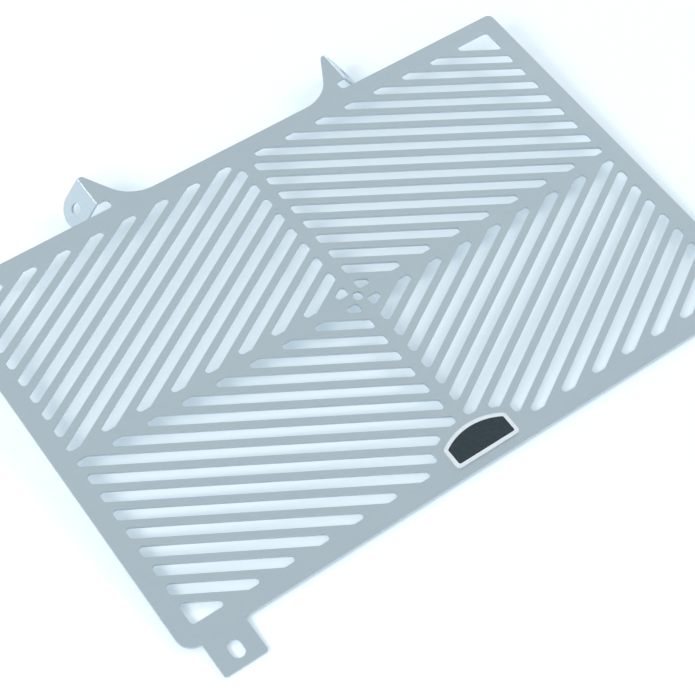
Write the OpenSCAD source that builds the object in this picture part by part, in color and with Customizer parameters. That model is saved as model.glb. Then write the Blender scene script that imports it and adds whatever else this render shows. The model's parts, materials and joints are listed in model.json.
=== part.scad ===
// Radiator guard for a motorcycle: one folded sheet of slotted stainless steel with two
// fixing flanges, a fixing tab and a small badge. Millimetres. It lies face up, as it
// comes to rest on a table: on the tips of its two flanges and on the end of its tab.
// The modules below draw it flat, with its face in the plane z = 0, its middle at the
// origin, +Y towards the flanges and the back of the sheet below. laid() then sets it down.

/* [Sheet] */
// Width of the face panel
panel_w = 360; // [300:5:420]
// Height of the face panel
panel_h = 233; // [200:1:280]
// Radius of the face panel's upper corners
panel_r = 3.5; // [2:0.5:12]
// Radius of the face panel's lower corners
panel_low_r = 8; // [2:0.5:12]
// Thickness of the sheet
sheet_t = 1.5; // [1:0.25:3]

/* [Slots] */
// Plain border between the slots and the panel's edges
border = 10; // [6:1:20]
// Width of the upright rib in the middle
rib_w = 6; // [4:0.5:12]
// Height of the cross rib
cross_rib_h = 6; // [4:0.5:12]
// Distance of the cross rib below the panel's middle
cross_rib_drop = 1.2; // [0:0.2:6]
// Angle of the slots to the cross rib
slot_angle = 30; // [20:1:40]
// Width of a slot
slot_w = 6; // [5:0.25:8]
// Width of the bar between two slots
bar_w = 4; // [3:0.25:7]
// Distance from the centre of the pattern to the first slot's centreline
first_slot = 7.5; // [6:0.25:12]
// Smallest radius in the corners of a slot
slot_r = 2; // [1:0.25:2.25]
// Diameter of the hole where the ribs cross
rib_hole_d = 5.5; // [2:0.5:6]

/* [Ears] */
// Distance from the middle to each fold line
fold_x = 81; // [60:1:120]
// Angle of an ear's inner edge to the panel's top edge
ear_angle = 60; // [50:1:75]
// Radius of the sweep from the panel's top edge into an ear
ear_sweep_r = 23; // [8:1:30]
// Width of the top of an ear, from its fold to its sharp corner
ear_tip_w = 1.8; // [1.4:0.2:6]
// Radius of the point of an ear
ear_tip_r = 1.6; // [0.4:0.2:2.4]
// Height of the relief notch under a fold
relief_h = 6.2; // [5:0.2:9]
// Depth of the relief notch, from the fold line inwards
relief_depth = 6.5; // [4:0.5:9]
// Radius in the corners of the relief notch
relief_r = 2.5; // [0.5:0.25:2.5]

/* [Flanges] */
// Angle that each flange is folded back by
flange_angle = 55; // [30:1:80]
// Length of a flange, from the fold line to its round end
flange_len = 23; // [18:0.5:32]
// Width of a flange
flange_w = 20; // [14:0.5:26]
// Inner radius of the fold
bend_r = 0.5; // [0.5:0.25:2]
// Diameter of the screw hole in a flange
flange_hole_d = 7; // [5:0.5:9]

/* [Tab] */
// Distance from the middle to the centreline of the tab
tab_x = 159.6; // [100:0.2:160]
// Width of the tab
tab_w = 23.6; // [18:0.2:30]
// Length of the tab below the panel's lower edge
tab_len = 19.7; // [16:0.1:30]
// Radius of the tab's corners
tab_r = 1.5; // [0.5:0.25:5]
// Width of the adjusting hole in the tab
tab_hole_w = 7; // [5:0.5:9]
// Length of the adjusting hole
tab_hole_len = 10; // [7:0.5:12]
// Distance of the adjusting hole's middle below the panel's lower edge
tab_hole_drop = 10.6; // [8:0.1:14]

/* [Badge] */
// Width of the badge
badge_w = 38.6; // [24:0.2:46]
// Height of the badge in the middle
badge_h = 18.2; // [12:0.2:24]
// Rise of the badge's arched top
badge_rise = 5.6; // [2:0.2:8]
// Radius of the badge's corners
badge_r = 2.2; // [0.5:0.1:3]
// Thickness of the badge plate
badge_t = 1; // [0.6:0.1:2]
// Width of the badge's bright rim
rim_w = 2; // [1:0.1:3]
// Radius of the dark field's corners
field_r = 1; // [0.5:0.1:2]
// Depth of the dark field's pocket in the badge
field_depth = 0.5; // [0.2:0.05:0.55]
// Distance that the dark field's surface stays below the rim
field_sink = 0.15; // [0:0.05:0.15]
// Distance from the panel's lower edge to the badge
badge_gap = 5.1; // [2:0.1:8]
// Clear metal above the badge
badge_clear_top = 4; // [2:0.5:8]
// Clear metal beside the badge
badge_clear_side = 5; // [2:0.5:10]

/* [Hidden] */
$fn = 48;

// How far one outline reaches into the next, so that the two join
lap = 0.5;
// How far a round edge reaches past the straight ones that it joins, to meet them cleanly
bite = 0.01;

// The slot pattern: q is a distance from its centre, square to the slots
slot_pitch = slot_w + bar_w;
slot_normal = [sin(slot_angle), cos(slot_angle)];
window_x = panel_w / 2 - border;
window_top = panel_h / 2 - border + cross_rib_drop;
window_bottom = panel_h / 2 - border - cross_rib_drop;

// The badge, measured in the panel's plane
badge_y = -panel_h / 2 + badge_gap;
arch_r = (pow(badge_w / 2, 2) + pow(badge_rise, 2)) / (2 * badge_rise);
arch_y = badge_h - arch_r;
keep_r = arch_r + badge_clear_top;
keep_x = badge_w / 2 + badge_clear_side;
keep_centre = [0, -cross_rib_drop - badge_y - arch_y];

// The ears and their folds
outer_bend_r = bend_r + sheet_t;
fold_setback = outer_bend_r * tan(flange_angle / 2);
bend_x = fold_x - fold_setback;
flange_y = panel_h / 2 + relief_h;
ear_h = relief_h + flange_w;
ear_slant = [cos(ear_angle), sin(ear_angle)];
tip_run = ear_tip_r * tan(ear_angle / 2);
sweep_run = ear_sweep_r * tan(ear_angle / 2);
ear_corner = [bend_x - ear_tip_w, ear_h];
ear_foot = [ear_corner.x - ear_h / tan(ear_angle), 0];
sweep_centre = ear_foot + [-sweep_run, ear_sweep_r];
flange_end_r = flange_w / 2 + bite;
flange_end_s = flange_len - flange_end_r;
flange_straight = flange_len - fold_setback;

// The tab
tab_end_y = -panel_h / 2 - tab_len;

// How the sheet lies: it leans on its flanges' round ends and on its tab
flange_mid_y = flange_y + flange_w / 2;
tip_z = -flange_len * sin(flange_angle) - sheet_t * cos(flange_angle);
lay_angle = atan((-sheet_t - tip_z) / (flange_mid_y - tab_end_y));
end_centre_z = -flange_end_s * sin(flange_angle) - sheet_t * cos(flange_angle);
end_low = norm([sin(flange_angle) * cos(lay_angle), sin(lay_angle)]) * flange_end_r;
end_far = norm([cos(lay_angle), sin(flange_angle) * sin(lay_angle)]) * flange_end_r;
flange_low_z = flange_mid_y * sin(lay_angle) + end_centre_z * cos(lay_angle) - end_low;
tab_low_z = tab_end_y * sin(lay_angle) - sheet_t * cos(lay_angle);
far_y = flange_mid_y * cos(lay_angle) - end_centre_z * sin(lay_angle) + end_far;
near_y = tab_end_y * cos(lay_angle);
lift = -min(flange_low_z, tab_low_z);
mid_y = (far_y + near_y) / 2;

// Sets the flat-drawn part down on z = 0, with its middle over the origin
module laid() {
    translate([0, -mid_y, lift])
        rotate([lay_angle, 0, 0])
            children();
}

// Draws its children on both sides of the upright rib
module both_sides() {
    children();
    mirror([1, 0, 0]) children();
}

// The part of convex outline p on the near side of the line n * point = d
function clipped(p, n, d) = [
    for (i = [0 : len(p) - 1])
        let (a = p[i], b = p[(i + 1) % len(p)], ea = n * a - d, eb = n * b - d)
            each concat(ea <= 0 ? [a] : [], ea * eb < 0 ? [a + (b - a) * ea / (ea - eb)] : [])
];

// Outward normal of the edge from a to b on a counter-clockwise outline
function outward(a, b) = [b.y - a.y, a.x - b.x] / norm(b - a);

// A convex outline with round corners: core holds the corners' centres, counter-clockwise
module rounded(core, r) {
    polygon([
        for (i = [0 : len(core) - 1])
            let (a = core[i], b = core[(i + 1) % len(core)], out = outward(a, b) * r)
                each [a + out, b + out]
    ]);
    for (c = core)
        translate(c) circle(r);
}

// Corners' centres of a rectangle from low to high with corners of radius r
function box_core(low, high, r) = [
    low + [r, r], [high.x - r, low.y + r], high - [r, r], [low.x + r, high.y - r]
];

// Number of the last slot in a quarter whose window is window_y high
function last_slot(window_y) =
    floor((slot_normal * [window_x, window_y] - first_slot - slot_w / 2) / slot_pitch);

// Direction from the badge's arch to where the centreline at distance q meets the clear metal
function badge_side(q) =
    let (
        d = slot_normal * keep_centre - q,
        half = abs(d) < keep_r ? sqrt(pow(keep_r, 2) - pow(d, 2)) : 0,
        x = half * cos(slot_angle) - d * sin(slot_angle)
    )
        x <= 0 ? [0, -1]
        : x >= keep_x ? [1, 0]
        : [x, -sqrt(pow(keep_r, 2) - pow(x, 2))] / keep_r;

// Distance from the badge's arch centre to the end of a slot, in direction side
function badge_reach(side) = side.x == 1 ? keep_x : keep_r;

// Corners' centres of slot i in a quarter: the first and last slots fill their corners
function slot_core(i, window_y) =
    let (
        q = first_slot + i * slot_pitch,
        w = slot_w / 2 - slot_r,
        quarter = box_core([rib_w / 2, cross_rib_h / 2], [window_x, window_y], slot_r),
        outer = i == last_slot(window_y) ? quarter : clipped(quarter, slot_normal, q + w)
    )
        i == 0 ? outer : clipped(outer, -slot_normal, w - q);

// The same corners, kept clear of the badge, whose quarters open downwards
function slot_core_by_badge(i, window_y) =
    let (
        side = badge_side(first_slot + i * slot_pitch),
        reach = badge_reach(side) + slot_r
    )
        clipped(slot_core(i, window_y), -side, -side * keep_centre - reach);

// The slots of one quarter, drawn in the positive quadrant
module quarter_slots(window_y, by_badge) {
    for (i = [0 : last_slot(window_y)]) {
        core = by_badge ? slot_core_by_badge(i, window_y) : slot_core(i, window_y);
        if (len(core) > 2)
            rounded(core, slot_r);
    }
}

// Every opening of the slot pattern, with the hole where the ribs cross
module slot_pattern() {
    translate([0, -cross_rib_drop]) {
        both_sides() {
            quarter_slots(window_top, false);
            mirror([0, 1]) quarter_slots(window_bottom, true);
        }
        circle(d = rib_hole_d);
    }
}

// The flat of one ear above the panel's top edge, up to the start of its bend
module ear_outline() {
    difference() {
        intersection() {
            union() {
                polygon([
                    [sweep_centre.x, -lap], [bend_x, -lap], [bend_x, ear_h],
                    ear_corner + [tip_run, 0], ear_corner - ear_slant * tip_run,
                    ear_foot + ear_slant * sweep_run, sweep_centre
                ]);
                translate(ear_corner + [tip_run, -ear_tip_r]) circle(ear_tip_r);
            }
            translate([0, -lap]) square([bend_x, ear_h + 2 * lap]);
        }
        translate(sweep_centre) circle(ear_sweep_r + bite, $fn = 96);
        rounded(
            box_core([fold_x - relief_depth, 0], [fold_x + relief_r, relief_h], relief_r),
            relief_r
        );
    }
}

// The face panel, whose lower corners are rounder than the upper ones
module panel_outline() {
    top = [panel_w / 2 - panel_r, panel_h / 2 - panel_r];
    low = [panel_w / 2 - panel_low_r, panel_h / 2 - panel_low_r];
    half = [panel_w / 2, panel_h / 2];
    polygon([
        [-low.x, -half.y], [low.x, -half.y], [half.x, -low.y], [half.x, top.y],
        [top.x, half.y], [-top.x, half.y], [-half.x, top.y], [-half.x, -low.y]
    ]);
    for (side = [-1, 1]) {
        translate([side * top.x, top.y]) circle(panel_r);
        translate([side * low.x, -low.y]) circle(panel_low_r);
    }
}

// The fixing tab at the lower left
module tab_outline() {
    translate([-tab_x, 0])
        rounded(
            box_core([-tab_w / 2, tab_end_y], [tab_w / 2, -panel_h / 2 + 2 * tab_r], tab_r),
            tab_r
        );
}

// The adjusting hole, long towards the panel
module tab_hole() {
    travel = tab_hole_len - tab_hole_w;
    translate([-tab_x, -panel_h / 2 - tab_hole_drop]) {
        square([tab_hole_w, travel], center = true);
        for (y = [-travel / 2, travel / 2])
            translate([0, y]) circle(d = tab_hole_w);
    }
}

// The flat of the sheet: the face panel, both ears and the tab
module sheet_outline() {
    difference() {
        union() {
            panel_outline();
            translate([0, panel_h / 2]) both_sides() ear_outline();
            tab_outline();
        }
        slot_pattern();
        tab_hole();
    }
}

// Section through a fold and its flange: x outwards and y upwards from the bend's axis.
// Two outlines round the same core leave the sheet between them.
module flange_section() {
    along = [cos(flange_angle), -sin(flange_angle)];
    out = [sin(flange_angle), cos(flange_angle)];
    end = along * (flange_straight + lap);
    core = [[-outer_bend_r, 0], end, [0, 0]];
    reach = 2 * outer_bend_r;
    turn = [reach * tan(flange_angle / 2), reach];
    difference() {
        intersection() {
            rounded(core, outer_bend_r);
            polygon([[0, 0], end, end + out * reach, turn, [0, reach]]);
        }
        rounded(core, bend_r);
    }
}

// What is cut from a flange: the screw hole and the corners outside its round end
module flange_cuts() {
    side = flange_w + 2 * lap;
    translate([flange_straight - flange_end_r, 0]) {
        circle(d = flange_hole_d);
        difference() {
            translate([0, -side / 2]) square([flange_end_r + 2 * lap, side]);
            circle(flange_end_r);
        }
    }
}

// One bend with its flange, from the flat of the ear to the round end
module flange() {
    difference() {
        translate([bend_x, flange_y + flange_w, -outer_bend_r])
            rotate([90, 0, 0])
                linear_extrude(flange_w) flange_section();
        translate([bend_x, flange_mid_y, -outer_bend_r])
            rotate([0, flange_angle, 0])
                linear_extrude(2 * outer_bend_r) flange_cuts();
    }
}

// The whole folded sheet
module guard_panel() {
    color([0.67, 0.73, 0.77])
        laid() {
            translate([0, 0, -sheet_t]) linear_extrude(sheet_t) sheet_outline();
            both_sides() flange();
        }
}

// An arched outline with corners of radius r, drawn inset from the badge's own outline
module arch_outline(inset, r) {
    half = badge_w / 2 - inset;
    big_r = arch_r - inset;
    shoulder = arch_y + sqrt(pow(big_r - r, 2) - pow(half - r, 2));
    to_arch = [half - r, shoulder - arch_y] / (big_r - r) * big_r + [0, arch_y];
    intersection() {
        translate([0, arch_y]) circle(big_r, $fn = 192);
        translate([-to_arch.x, inset + r]) square([2 * to_arch.x, badge_h]);
    }
    polygon([
        [-half + r, inset], [half - r, inset], [half, inset + r], [half, shoulder],
        to_arch, [-to_arch.x, to_arch.y], [-half, shoulder], [-half, inset + r]
    ]);
    for (x = [r - half, half - r], y = [inset + r, shoulder])
        translate([x, y]) circle(r);
}

// The badge's bright plate, with a pocket for the dark field
module badge_plate() {
    color([0.86, 0.88, 0.9])
        laid() translate([0, badge_y, 0])
            difference() {
                linear_extrude(badge_t) arch_outline(0, badge_r);
                translate([0, 0, badge_t - field_depth])
                    linear_extrude(badge_t) arch_outline(rim_w, field_r);
            }
}

// The dark field that fills the pocket to just below the rim
module badge_field() {
    color([0.2, 0.25, 0.28])
        laid() translate([0, badge_y, badge_t - field_depth])
            linear_extrude(field_depth - field_sink) arch_outline(rim_w, field_r);
}

guard_panel();
badge_plate();
badge_field();
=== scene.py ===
"""Finishes, lights and camera for a motorcycle radiator guard.

The guard is one folded sheet of satin stainless steel with a field of slanted slots,
and a small arched badge. It lies face up on a white table.
"""

from __future__ import annotations

import json
import logging
import math
from dataclasses import dataclass, field
from enum import Enum
from typing import Any

import bpy
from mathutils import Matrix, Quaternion, Vector

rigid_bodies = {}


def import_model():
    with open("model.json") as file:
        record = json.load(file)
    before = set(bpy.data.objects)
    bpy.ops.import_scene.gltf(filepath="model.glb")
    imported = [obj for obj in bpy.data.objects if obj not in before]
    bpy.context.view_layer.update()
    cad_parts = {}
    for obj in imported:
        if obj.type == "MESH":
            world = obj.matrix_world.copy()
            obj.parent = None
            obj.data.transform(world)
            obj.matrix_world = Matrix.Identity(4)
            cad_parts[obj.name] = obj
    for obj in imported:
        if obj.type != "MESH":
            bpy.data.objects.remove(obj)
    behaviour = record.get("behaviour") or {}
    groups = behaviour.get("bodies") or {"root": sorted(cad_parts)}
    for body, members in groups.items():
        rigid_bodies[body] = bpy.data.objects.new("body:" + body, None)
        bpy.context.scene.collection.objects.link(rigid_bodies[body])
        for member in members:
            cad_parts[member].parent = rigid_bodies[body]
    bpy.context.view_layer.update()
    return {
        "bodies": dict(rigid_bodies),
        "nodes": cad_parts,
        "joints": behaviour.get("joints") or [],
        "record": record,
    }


LOG = logging.getLogger("radiator_guard")

Colour = tuple[float, float, float]
Span = tuple[float, float]
Triple = tuple[float, float, float]

MILLIMETRE = 0.001
IMAGE_SIDE_PX = 695
FULL_FRAME_MM = 36.0
JOIN_DISTANCE = 0.01 * MILLIMETRE
SHARP_ANGLE_DEG = 40.0
WHITE: Colour = (1.0, 1.0, 1.0)
BLACK: Colour = (0.0, 0.0, 0.0)


class Ray(Enum):
    """The kinds of ray that see the white background."""

    CAMERA = "Is Camera Ray"
    GLOSSY = "Is Glossy Ray"
    TRANSMISSION = "Is Transmission Ray"


class Blend(Enum):
    """Ways in which two colours are laid over each other."""

    MIX = "MIX"
    MULTIPLY = "MULTIPLY"


class Wiring:
    """Adds nodes to one tree and links them in the order that the light of a finish takes.

    The Mix node has one set of sockets for colours and one for numbers. The inputs named here
    are its factor and the two things that it mixes.
    """

    spacing = 200
    colour_inputs = (0, 6, 7)
    colour_output = 2
    number_inputs = (0, 2, 3)
    number_output = 0

    def __init__(self, tree: bpy.types.NodeTree) -> None:
        """Starts on a material's, world's or group's node tree."""
        self.tree = tree
        self.column = 0

    def node(
        self, kind: str, settings: dict[str, Any] | None = None, **inputs: Any
    ) -> bpy.types.Node:
        """Adds a node, sets it up and fills or links its inputs.

        Args:
            kind: the node's bl_idname.
            settings: the node's own properties.
            inputs: socket names, with underscores for spaces, and a value or an output socket.

        Returns:
            The new node.
        """
        made = self.tree.nodes.new(kind)
        made.location = (self.spacing * self.column, 0)
        self.column += 1
        for name, value in (settings or {}).items():
            setattr(made, name, value)
        for name, value in inputs.items():
            self.feed(made.inputs[name.replace("_", " ")], value)
        return made

    def feed(self, socket: bpy.types.NodeSocket, value: Any) -> None:
        """Links an output socket to an input, or sets the input to a value.

        Args:
            socket: the input.
            value: an output socket, a number, a vector or a colour.
        """
        if isinstance(value, bpy.types.NodeSocket):
            self.tree.links.new(value, socket)
        elif socket.type == "RGBA" and len(value) == 3:
            socket.default_value = (*value, 1.0)
        else:
            socket.default_value = value

    def feed_all(
        self, made: bpy.types.Node, places: tuple[int, ...], values: tuple[Any, ...]
    ) -> None:
        """Fills or links several inputs of a node, each named by its place."""
        for place, value in zip(places, values):
            self.feed(made.inputs[place], value)

    def math(self, operation: str, first: Any, second: Any = 0.0) -> bpy.types.NodeSocket:
        """Adds a sum on one or two numbers.

        Args:
            operation: what the Math node does.
            first: the first number.
            second: the second number, where there is one.

        Returns:
            The result.
        """
        made = self.node("ShaderNodeMath", {"operation": operation})
        self.feed_all(made, (0, 1), (first, second))
        return made.outputs[0]

    def vector(self, operation: str, first: Any, second: Any) -> bpy.types.Node:
        """Adds a sum on two vectors.

        Args:
            operation: what the Vector Math node does.
            first: the first vector.
            second: the second vector.

        Returns:
            The node, which has a Vector and a Value output.
        """
        made = self.node("ShaderNodeVectorMath", {"operation": operation})
        self.feed_all(made, (0, 1), (first, second))
        return made

    def stretch(self, vector: Any, factors: Any) -> bpy.types.NodeSocket:
        """Returns a vector stretched by a factor along each axis."""
        return self.vector("MULTIPLY", vector, factors).outputs["Vector"]

    def alignment(self, first: Any, second: Any) -> bpy.types.NodeSocket:
        """Returns 1 for two directions along one line, and 0 for two at right angles."""
        dot = self.vector("DOT_PRODUCT", first, second).outputs["Value"]
        return self.math("ABSOLUTE", dot)

    def remap(
        self, value: Any, low: float, high: float, to_low: float, to_high: float
    ) -> bpy.types.NodeSocket:
        """Carries a value smoothly from one range to another, and holds it at the ends.

        Args:
            value: the value.
            low: the start of its range.
            high: the end of its range.
            to_low: the result at the start and before it.
            to_high: the result at the end and after it.

        Returns:
            The result.
        """
        return self.node(
            "ShaderNodeMapRange",
            {"interpolation_type": "SMOOTHSTEP"},
            Value=value,
            From_Min=low,
            From_Max=high,
            To_Min=to_low,
            To_Max=to_high,
        ).outputs["Result"]

    def colours(self, blend: Blend, factor: Any, under: Any, over: Any) -> bpy.types.NodeSocket:
        """Lays one colour over another.

        Args:
            blend: the way in which they mix.
            factor: how much the upper colour counts.
            under: the lower colour.
            over: the upper colour.

        Returns:
            The mixed colour.
        """
        made = self.node("ShaderNodeMix", {"data_type": "RGBA", "blend_type": blend.value})
        self.feed_all(made, self.colour_inputs, (factor, under, over))
        return made.outputs[self.colour_output]

    def numbers(self, factor: Any, first: Any, second: Any) -> bpy.types.NodeSocket:
        """Mixes two numbers.

        Args:
            factor: 0 for the first and 1 for the second.
            first: the first number.
            second: the second number.

        Returns:
            The mixed number.
        """
        made = self.node("ShaderNodeMix", {"data_type": "FLOAT"})
        self.feed_all(made, self.number_inputs, (factor, first, second))
        return made.outputs[self.number_output]

    def shaders(
        self, factor: Any, first: bpy.types.Node, second: bpy.types.Node
    ) -> bpy.types.Node:
        """Mixes two shaders.

        Args:
            factor: 0 for the first and 1 for the second.
            first: the first shader.
            second: the second shader.

        Returns:
            The mixed shader.
        """
        made = self.node("ShaderNodeMixShader")
        self.feed_all(made, (0, 1, 2), (factor, first.outputs[0], second.outputs[0]))
        return made

    def noise(
        self, position: Any, scale: Any, detail: float, roughness: float
    ) -> bpy.types.NodeSocket:
        """Adds a smooth random pattern.

        Args:
            position: where it is read.
            scale: how many spots it has over one unit of position.
            detail: how many finer layers it has.
            roughness: how much each finer layer counts.

        Returns:
            Its value, about one half.
        """
        return self.node(
            "ShaderNodeTexNoise",
            {"noise_dimensions": "3D"},
            Vector=position,
            Scale=scale,
            Detail=detail,
            Roughness=roughness,
        ).outputs[0]


class Effect:
    """A shader node group with named inputs and outputs, built once."""

    title = "effect"
    takes: tuple[tuple[str, str], ...] = ()
    gives: tuple[tuple[str, str], ...] = ()

    def __init__(self) -> None:
        """Builds the group."""
        self.group = bpy.data.node_groups.new(self.title, "ShaderNodeTree")
        for name, kind in self.takes:
            self.group.interface.new_socket(name, in_out="INPUT", socket_type=kind)
        for name, kind in self.gives:
            self.group.interface.new_socket(name, in_out="OUTPUT", socket_type=kind)
        wiring = Wiring(self.group)
        entry = wiring.node("NodeGroupInput")
        results = self.lay_out(wiring, entry.outputs)
        leave = wiring.node("NodeGroupOutput")
        for name, result in results.items():
            wiring.feed(leave.inputs[name], result)

    def lay_out(self, wiring: Wiring, given: Any) -> dict[str, bpy.types.NodeSocket]:
        """Makes the group's nodes, and returns a socket for each of its outputs by name."""
        raise NotImplementedError

    def place(self, wiring: Wiring, **inputs: Any) -> bpy.types.Node:
        """Puts the group in a material, and returns the group node with its outputs."""
        return wiring.node("ShaderNodeGroup", {"node_tree": self.group}, **inputs)


class GrainEffect(Effect):
    """Fine scratches that all run one way, as on rolled and brushed metal."""

    title = "metal_grain"
    takes = (
        ("Position", "NodeSocketVector"),
        ("Lines per metre", "NodeSocketVector"),
        ("Strength", "NodeSocketFloat"),
    )
    gives = (("Mask", "NodeSocketFloat"), ("Height", "NodeSocketFloat"))
    fine_detail = 3.0
    fine_roughness = 0.6
    fine_share = 0.65
    coarse_stretch: Triple = (0.6, 0.22, 0.22)
    coarse_detail = 2.0
    coarse_roughness = 0.5
    middle = 0.5

    def lay_out(self, wiring: Wiring, given: Any) -> dict[str, bpy.types.NodeSocket]:
        """Makes long fine streaks and broken coarser ones.

        Args:
            wiring: adds nodes to the group.
            given: Position, Lines per metre and Strength.

        Returns:
            Mask, about one half, and Height, about nothing.
        """
        fine_place = wiring.stretch(given["Position"], given["Lines per metre"])
        fine = wiring.noise(fine_place, 1.0, self.fine_detail, self.fine_roughness)
        coarse_place = wiring.stretch(fine_place, self.coarse_stretch)
        coarse = wiring.noise(coarse_place, 1.0, self.coarse_detail, self.coarse_roughness)
        both = wiring.math(
            "ADD",
            wiring.math("MULTIPLY", fine, self.fine_share),
            wiring.math("MULTIPLY", coarse, 1.0 - self.fine_share),
        )
        rise = wiring.math("SUBTRACT", both, self.middle)
        return {"Mask": both, "Height": wiring.math("MULTIPLY", rise, given["Strength"])}


class MottleEffect(Effect):
    """Soft clouds of slightly different tone, as handling and rolling leave on a sheet."""

    title = "soft_mottle"
    takes = (
        ("Position", "NodeSocketVector"),
        ("Colour", "NodeSocketColor"),
        ("Second colour", "NodeSocketColor"),
        ("Spots per metre", "NodeSocketFloat"),
    )
    gives = (("Colour", "NodeSocketColor"),)
    detail = 4.0
    roughness = 0.55
    change: Span = (0.35, 0.65)

    def lay_out(self, wiring: Wiring, given: Any) -> dict[str, bpy.types.NodeSocket]:
        """Mixes the two colours by large and small clouds.

        Args:
            wiring: adds nodes to the group.
            given: Position, Colour, Second colour and Spots per metre.

        Returns:
            Colour.
        """
        clouds = wiring.noise(
            given["Position"], given["Spots per metre"], self.detail, self.roughness
        )
        share = wiring.remap(clouds, *self.change, 0.0, 1.0)
        mixed = wiring.colours(Blend.MIX, share, given["Colour"], given["Second colour"])
        return {"Colour": mixed}


@dataclass(frozen=True)
class SheetForm:
    """How the sheet lies and is folded, in degrees."""

    lean_deg: float = 3.872
    fold_deg: float = 55.0

    def face_normal(self) -> Triple:
        """Returns the direction in which the slotted face looks."""
        lean = math.radians(self.lean_deg)
        return (0.0, -math.sin(lean), math.cos(lean))

    def flange_normal(self) -> Triple:
        """Returns the direction in which the right flange's outer face looks."""
        lean, fold = math.radians(self.lean_deg), math.radians(self.fold_deg)
        return (math.sin(fold), -math.cos(fold) * math.sin(lean), math.cos(fold) * math.cos(lean))


class CutEdgeEffect(Effect):
    """Tells the cut edges of the folded sheet from its rolled faces.

    Its span is how well a surface has to agree with a rolled face: below it the surface is a
    cut edge, and above it a rolled face.
    """

    title = "sheet_cut_edges"
    takes = (("Position", "NodeSocketVector"), ("Normal", "NodeSocketVector"))
    gives = (("Mask", "NodeSocketFloat"),)
    agreement: Span = (0.835, 0.875)

    def __init__(self, form: SheetForm) -> None:
        """Builds the group for a sheet of this form."""
        self.form = form
        super().__init__()

    def lay_out(self, wiring: Wiring, given: Any) -> dict[str, bpy.types.NodeSocket]:
        """Compares the surface's direction with that of the face and of the nearer flange.

        Args:
            wiring: adds nodes to the group.
            given: Position and Normal.

        Returns:
            Mask, which is 1 on a cut edge and 0 on a rolled face.
        """
        place = wiring.node("ShaderNodeSeparateXYZ", Vector=given["Position"])
        side = wiring.math("SIGN", place.outputs["X"])
        towards = wiring.node("ShaderNodeCombineXYZ", X=side, Y=1.0, Z=1.0)
        outward = wiring.stretch(given["Normal"], towards.outputs["Vector"])
        on_face = wiring.alignment(given["Normal"], self.form.face_normal())
        on_flange = wiring.alignment(outward, self.form.flange_normal())
        rolled = wiring.math("MAXIMUM", on_face, on_flange)
        return {"Mask": wiring.remap(rolled, *self.agreement, 1.0, 0.0)}


class Workshop:
    """The effects that the finishes share."""

    def __init__(self, form: SheetForm) -> None:
        """Builds each effect once.

        Args:
            form: how the sheet lies and is folded.
        """
        self.grain = GrainEffect()
        self.mottle = MottleEffect()
        self.cut_edges = CutEdgeEffect(form)


def new_material(name: str) -> tuple[bpy.types.Material, Wiring]:
    """Makes an empty node material.

    Args:
        name: the material's name.

    Returns:
        The material and the wiring of its tree.
    """
    material = bpy.data.materials.new(name)
    material.use_nodes = True
    material.node_tree.nodes.clear()
    return material, Wiring(material.node_tree)


def close_material(wiring: Wiring, shader: bpy.types.Node) -> None:
    """Links a shader to the material's output."""
    wiring.node("ShaderNodeOutputMaterial", Surface=shader.outputs[0])


@dataclass(frozen=True)
class SatinSteelFinish:
    """Rolled stainless steel with a satin grain, and the greyer edges that the cutter left."""

    name: str = "satin_stainless_steel"
    colour: Colour = (0.58, 0.68, 0.725)
    second_colour: Colour = (0.597, 0.69, 0.725)
    spots_per_metre: float = 38.0
    cut_colour: Colour = (0.60, 0.66, 0.70)
    streak_colour: Colour = (0.72, 0.74, 0.76)
    streak_depth: float = 0.18
    streak_change: Span = (0.35, 0.65)
    roughness: float = 0.40
    roughness_spread: float = 0.10
    roughness_change: Span = (0.3, 0.7)
    cut_roughness: float = 0.55
    grain_lines: Triple = (160.0, 5200.0, 0.0)
    grain_strength: float = 1.0
    cut_lines: Triple = (5200.0, 5200.0, 300.0)
    cut_strength: float = 2.0
    grain_height: float = 0.004 * MILLIMETRE
    bump_strength: float = 0.35

    def make(self, workshop: Workshop) -> bpy.types.Material:
        """Builds the material.

        Args:
            workshop: the shared effects.

        Returns:
            The finished material.
        """
        material, wiring = new_material(self.name)
        spot = wiring.node("ShaderNodeTexCoord")
        position, normal = spot.outputs["Object"], spot.outputs["Normal"]
        cut = workshop.cut_edges.place(wiring, Position=position, Normal=normal).outputs["Mask"]
        grain = workshop.grain.place(
            wiring,
            Position=position,
            Lines_per_metre=self.grain_lines,
            Strength=self.grain_strength,
        ).outputs
        striae = workshop.grain.place(
            wiring,
            Position=position,
            Lines_per_metre=self.cut_lines,
            Strength=self.cut_strength,
        ).outputs
        mottle = workshop.mottle.place(
            wiring,
            Position=position,
            Colour=self.colour,
            Second_colour=self.second_colour,
            Spots_per_metre=self.spots_per_metre,
        ).outputs
        streaks = wiring.remap(grain["Mask"], *self.streak_change, self.streak_depth, 0.0)
        toned = wiring.colours(Blend.MULTIPLY, streaks, mottle["Colour"], self.streak_colour)
        colour = wiring.colours(Blend.MIX, cut, toned, self.cut_colour)
        half_spread = self.roughness_spread / 2
        rolled = wiring.remap(
            grain["Mask"],
            *self.roughness_change,
            self.roughness - half_spread,
            self.roughness + half_spread,
        )
        roughness = wiring.numbers(cut, rolled, self.cut_roughness)
        height = wiring.numbers(cut, grain["Height"], striae["Height"])
        bump = wiring.node(
            "ShaderNodeBump",
            Strength=self.bump_strength,
            Distance=self.grain_height,
            Height=height,
        )
        shader = wiring.node(
            "ShaderNodeBsdfPrincipled",
            Base_Color=colour,
            Metallic=1.0,
            Roughness=roughness,
            Normal=bump.outputs[0],
        )
        close_material(wiring, shader)
        return material


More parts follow.
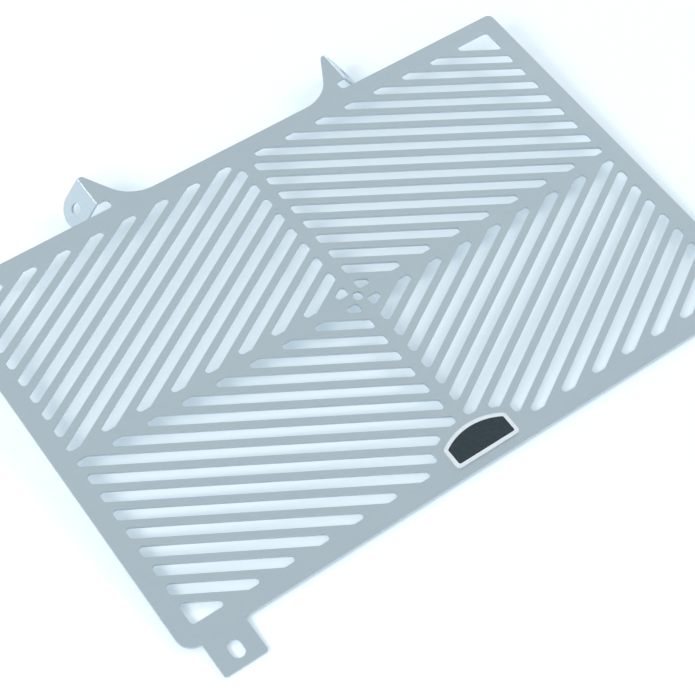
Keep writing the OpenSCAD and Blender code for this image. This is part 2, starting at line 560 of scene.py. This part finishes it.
@dataclass(frozen=True)
class BrightRimFinish:
    """Bright satin aluminium of the badge's plate."""

    name: str = "bright_badge_rim"
    colour: Colour = (0.76, 0.81, 0.835)
    second_colour: Colour = (0.70, 0.76, 0.79)
    spots_per_metre: float = 220.0
    metallic: float = 0.5
    roughness: Span = (0.25, 0.38)
    roughness_change: Span = (0.3, 0.7)
    grain_lines: Triple = (900.0, 9000.0, 900.0)
    grain_strength: float = 1.0
    grain_height: float = 0.003 * MILLIMETRE
    bump_strength: float = 0.2

    def make(self, workshop: Workshop) -> bpy.types.Material:
        """Builds the material.

        Args:
            workshop: the shared effects.

        Returns:
            The finished material.
        """
        material, wiring = new_material(self.name)
        position = wiring.node("ShaderNodeTexCoord").outputs["Object"]
        grain = workshop.grain.place(
            wiring,
            Position=position,
            Lines_per_metre=self.grain_lines,
            Strength=self.grain_strength,
        ).outputs
        mottle = workshop.mottle.place(
            wiring,
            Position=position,
            Colour=self.colour,
            Second_colour=self.second_colour,
            Spots_per_metre=self.spots_per_metre,
        ).outputs
        bump = wiring.node(
            "ShaderNodeBump",
            Strength=self.bump_strength,
            Distance=self.grain_height,
            Height=grain["Height"],
        )
        shader = wiring.node(
            "ShaderNodeBsdfPrincipled",
            Base_Color=mottle["Colour"],
            Metallic=self.metallic,
            Roughness=wiring.remap(grain["Mask"], *self.roughness_change, *self.roughness),
            Normal=bump.outputs[0],
        )
        close_material(wiring, shader)
        return material


@dataclass(frozen=True)
class SlateFieldFinish:
    """Smooth dark slate filling of the badge, with a fine leathery skin."""

    name: str = "slate_badge_field"
    colour: Colour = (0.008, 0.019, 0.026)
    second_colour: Colour = (0.013, 0.026, 0.034)
    spots_per_metre: float = 420.0
    roughness: Span = (0.36, 0.48)
    roughness_change: Span = (0.3, 0.7)
    pores_per_metre: float = 3800.0
    pore_detail: float = 2.0
    pore_roughness: float = 0.5
    pore_height: float = 0.01 * MILLIMETRE
    bump_strength: float = 0.25

    def make(self, workshop: Workshop) -> bpy.types.Material:
        """Builds the material.

        Args:
            workshop: the shared effects.

        Returns:
            The finished material.
        """
        material, wiring = new_material(self.name)
        position = wiring.node("ShaderNodeTexCoord").outputs["Object"]
        mottle = workshop.mottle.place(
            wiring,
            Position=position,
            Colour=self.colour,
            Second_colour=self.second_colour,
            Spots_per_metre=self.spots_per_metre,
        ).outputs
        pores = wiring.noise(
            position, self.pores_per_metre, self.pore_detail, self.pore_roughness
        )
        bump = wiring.node(
            "ShaderNodeBump",
            Strength=self.bump_strength,
            Distance=self.pore_height,
            Height=pores,
        )
        shader = wiring.node(
            "ShaderNodeBsdfPrincipled",
            Base_Color=mottle["Colour"],
            Metallic=0.0,
            Roughness=wiring.remap(pores, *self.roughness_change, *self.roughness),
            Normal=bump.outputs[0],
        )
        close_material(wiring, shader)
        return material


def soften_edges(node: bpy.types.Object, width: float, rows: int) -> None:
    """Breaks a node's sharp edges with a small bevel.

    Args:
        node: the CAD node's object.
        width: the bevel's width in metres.
        rows: rows of faces across the bevel.
    """
    weld = node.modifiers.new("join_corners", "WELD")
    weld.merge_threshold = JOIN_DISTANCE
    bevel = node.modifiers.new("broken_edges", "BEVEL")
    bevel.width = width
    bevel.segments = rows
    bevel.limit_method = "ANGLE"
    bevel.angle_limit = math.radians(SHARP_ANGLE_DEG)
    flatten = node.modifiers.new("flat_faces", "WEIGHTED_NORMAL")
    flatten.keep_sharp = True


def dress(node: bpy.types.Object, material: bpy.types.Material) -> None:
    """Gives a CAD node its one finish."""
    node.data.materials.clear()
    node.data.materials.append(material)


@dataclass
class GuardPanel:
    """The folded, slotted sheet."""

    node: str = "guard_panel"
    edge_width: float = 0.10 * MILLIMETRE
    edge_rows: int = 1
    finish: SatinSteelFinish = field(default_factory=SatinSteelFinish)

    def build(self, frame: dict[str, Any], workshop: Workshop) -> None:
        """Dresses the sheet.

        Args:
            frame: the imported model.
            workshop: the shared effects.
        """
        sheet = frame["nodes"][self.node]
        dress(sheet, self.finish.make(workshop))
        soften_edges(sheet, self.edge_width, self.edge_rows)
        LOG.info("%s is finished in %s", self.node, self.finish.name)


@dataclass
class Badge:
    """The arched plate and the dark field inside its rim."""

    plate_node: str = "badge_plate"
    field_node: str = "badge_field"
    edge_width: float = 0.15 * MILLIMETRE
    edge_rows: int = 2
    rim_finish: BrightRimFinish = field(default_factory=BrightRimFinish)
    field_finish: SlateFieldFinish = field(default_factory=SlateFieldFinish)

    def build(self, frame: dict[str, Any], workshop: Workshop) -> None:
        """Dresses both pieces of the badge.

        Args:
            frame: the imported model.
            workshop: the shared effects.
        """
        plate = frame["nodes"][self.plate_node]
        dress(plate, self.rim_finish.make(workshop))
        soften_edges(plate, self.edge_width, self.edge_rows)
        LOG.info("%s is finished in %s", self.plate_node, self.rim_finish.name)
        dress(frame["nodes"][self.field_node], self.field_finish.make(workshop))
        LOG.info("%s is finished in %s", self.field_node, self.field_finish.name)


def seen_directly(wiring: Wiring) -> bpy.types.NodeSocket:
    """Tells the rays that see the white background from those that only light.

    Args:
        wiring: adds nodes to the material.

    Returns:
        1 for a ray that sees the background and 0 for one that only lights.
    """
    path = wiring.node("ShaderNodeLightPath")
    total = path.outputs[Ray.CAMERA.value]
    for ray in (Ray.GLOSSY, Ray.TRANSMISSION):
        total = wiring.math("MAXIMUM", total, path.outputs[ray.value])
    return total


@dataclass(frozen=True)
class TableFinish:
    """Pale table top, white in full light and pale blue where the guard shades it.

    Between fade_from and fade_to, in metres from the guard's middle, it turns to the plain
    white of the surroundings, so that no horizon shows.
    """

    name: str = "white_table"
    glow: Colour = (0.21, 0.26, 0.315)
    lit: Colour = (0.62, 0.66, 0.655)
    bounce: Colour = (0.80, 0.80, 0.80)
    middle: Triple = (0.0, 0.0, 0.0)
    fade_from: float = 0.40
    fade_to: float = 0.90

    def make(self) -> bpy.types.Material:
        """Builds the material.

        Returns:
            The finished material.
        """
        material, wiring = new_material(self.name)
        position = wiring.node("ShaderNodeTexCoord").outputs["Object"]
        distance = wiring.vector("DISTANCE", position, self.middle).outputs["Value"]
        away = wiring.remap(distance, self.fade_from, self.fade_to, 0.0, 1.0)
        glowing = wiring.colours(Blend.MIX, away, self.glow, WHITE)
        painted = wiring.colours(Blend.MIX, away, self.lit, BLACK)
        glow = wiring.node("ShaderNodeEmission", Color=glowing, Strength=1.0)
        lit = wiring.node("ShaderNodeBsdfDiffuse", Color=painted)
        shown = wiring.node("ShaderNodeAddShader")
        wiring.feed_all(shown, (0, 1), (glow.outputs[0], lit.outputs[0]))
        plain_white = wiring.node("ShaderNodeBsdfDiffuse", Color=self.bounce)
        close_material(wiring, wiring.shaders(seen_directly(wiring), plain_white, shown))
        return material


@dataclass(frozen=True)
class Lamp:
    """A square soft lamp that faces the guard."""

    name: str
    eye: Triple
    size: float
    power: float
    tint: Colour = WHITE
    in_reflections: bool = True

    def build(self) -> None:
        """Hangs the lamp, out of the camera's sight."""
        data = bpy.data.lights.new(self.name, "AREA")
        data.shape = "SQUARE"
        data.size = self.size
        data.energy = self.power
        data.color = self.tint
        lamp = bpy.data.objects.new(self.name, data)
        lamp.location = self.eye
        lamp.visible_glossy = self.in_reflections
        lamp.visible_camera = False
        lamp.rotation_mode = "QUATERNION"
        lamp.rotation_quaternion = (-Vector(self.eye)).to_track_quat("-Z", "Y")
        bpy.context.scene.collection.objects.link(lamp)


@dataclass
class Studio:
    """The white table, the soft light and the white surroundings.

    The left, right and front lamps cast the shadows and aren't mirrored, so that they burn out
    no side of the sheet. The fold lamps only show along the folds, and a weak low one gives the
    left flange its cool tone.
    """

    table_side: float = 6.0
    zenith: Colour = (0.80, 0.84, 0.88)
    horizon: Colour = (0.93, 0.95, 0.99)
    zenith_height: float = 0.7
    light_strength: float = 0.87
    left: Lamp = Lamp(
        "left_light", eye=(-1.82, 0.02, 1.40), size=0.7, power=21.0, in_reflections=False
    )
    right: Lamp = Lamp(
        "right_light", eye=(1.82, 0.02, 1.40), size=0.7, power=12.0, in_reflections=False
    )
    front: Lamp = Lamp(
        "front_light", eye=(-1.58, -0.91, 1.40), size=0.7, power=12.0, in_reflections=False
    )
    left_fold: Lamp = Lamp(
        "left_fold_light", eye=(-1.27, 1.15, 1.54), size=0.5, power=5.0, tint=(0.94, 0.96, 1.0)
    )
    right_fold: Lamp = Lamp("right_fold_light", eye=(1.84, 1.15, 0.69), size=0.5, power=3.0)
    left_flange: Lamp = Lamp(
        "left_flange_light", eye=(-1.74, 1.16, 0.35), size=0.5, power=0.65, tint=(0.81, 0.79, 1.0)
    )
    finish: TableFinish = field(default_factory=TableFinish)

    def build(self) -> None:
        """Builds everything round the guard."""
        self.make_table()
        self.make_surroundings()
        for lamp in (
            self.left, self.right, self.front, self.left_fold, self.right_fold, self.left_flange
        ):
            lamp.build()
        LOG.info("the table and its light are set")

    def make_table(self) -> None:
        """Lays a large plain table top under the guard."""
        half = self.table_side / 2
        corners = [(-half, -half, 0), (half, -half, 0), (half, half, 0), (-half, half, 0)]
        mesh = bpy.data.meshes.new("table_top")
        mesh.from_pydata(corners, [], [(0, 1, 2, 3)])
        table = bpy.data.objects.new("table_top", mesh)
        bpy.context.scene.collection.objects.link(table)
        mesh.materials.append(self.finish.make())

    def make_surroundings(self) -> None:
        """Makes a soft white room, paler towards the horizon, that the camera sees as white."""
        world = bpy.data.worlds.new("white_room")
        world.use_nodes = True
        world.node_tree.nodes.clear()
        bpy.context.scene.world = world
        wiring = Wiring(world.node_tree)
        direction = wiring.node("ShaderNodeTexCoord").outputs["Generated"]
        height = wiring.node("ShaderNodeSeparateXYZ", Vector=direction).outputs["Z"]
        rise = wiring.remap(height, 0.0, self.zenith_height, 0.0, 1.0)
        room = wiring.colours(Blend.MIX, rise, self.horizon, self.zenith)
        light = wiring.node("ShaderNodeBackground", Color=room, Strength=self.light_strength)
        white = wiring.node("ShaderNodeBackground", Color=WHITE, Strength=1.0)
        path = wiring.node("ShaderNodeLightPath")
        choice = wiring.shaders(path.outputs[Ray.CAMERA.value], light, white)
        wiring.node("ShaderNodeOutputWorld", Surface=choice.outputs[0])


@dataclass(frozen=True)
class PhotoCamera:
    """The camera at the photograph's viewing angle, over the guard's lower left."""

    eye: Triple = (-0.33229, -0.43163, 0.71666)
    aim: Triple = (-0.02376, -0.02849, 0.01073)
    roll_deg: float = 1.867
    focal_px: float = 1724.6
    clip_start: float = 0.02
    clip_end: float = 50.0

    def build(self) -> None:
        """Makes the camera and sets it as the scene's."""
        data = bpy.data.cameras.new("photo_camera")
        data.sensor_fit = "HORIZONTAL"
        data.sensor_width = FULL_FRAME_MM
        data.lens = self.focal_px / IMAGE_SIDE_PX * FULL_FRAME_MM
        data.clip_start = self.clip_start
        data.clip_end = self.clip_end
        camera = bpy.data.objects.new("photo_camera", data)
        look = (Vector(self.aim) - Vector(self.eye)).to_track_quat("-Z", "Y")
        camera.rotation_mode = "QUATERNION"
        camera.rotation_quaternion = look @ Quaternion((0.0, 0.0, 1.0), math.radians(self.roll_deg))
        camera.location = self.eye
        bpy.context.scene.collection.objects.link(camera)
        bpy.context.scene.camera = camera
        LOG.info("the camera has a %.1f mm lens", data.lens)


def main() -> None:
    """Builds the guard's finishes and its setting."""
    logging.basicConfig(level=logging.INFO, format="%(name)s: %(message)s")
    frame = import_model()
    bpy.context.scene.view_settings.view_transform = "Standard"
    workshop = Workshop(SheetForm())
    PhotoCamera().build()
    Studio().build()
    GuardPanel().build(frame, workshop)
    Badge().build(frame, workshop)


if __name__ == "__main__":
    main()
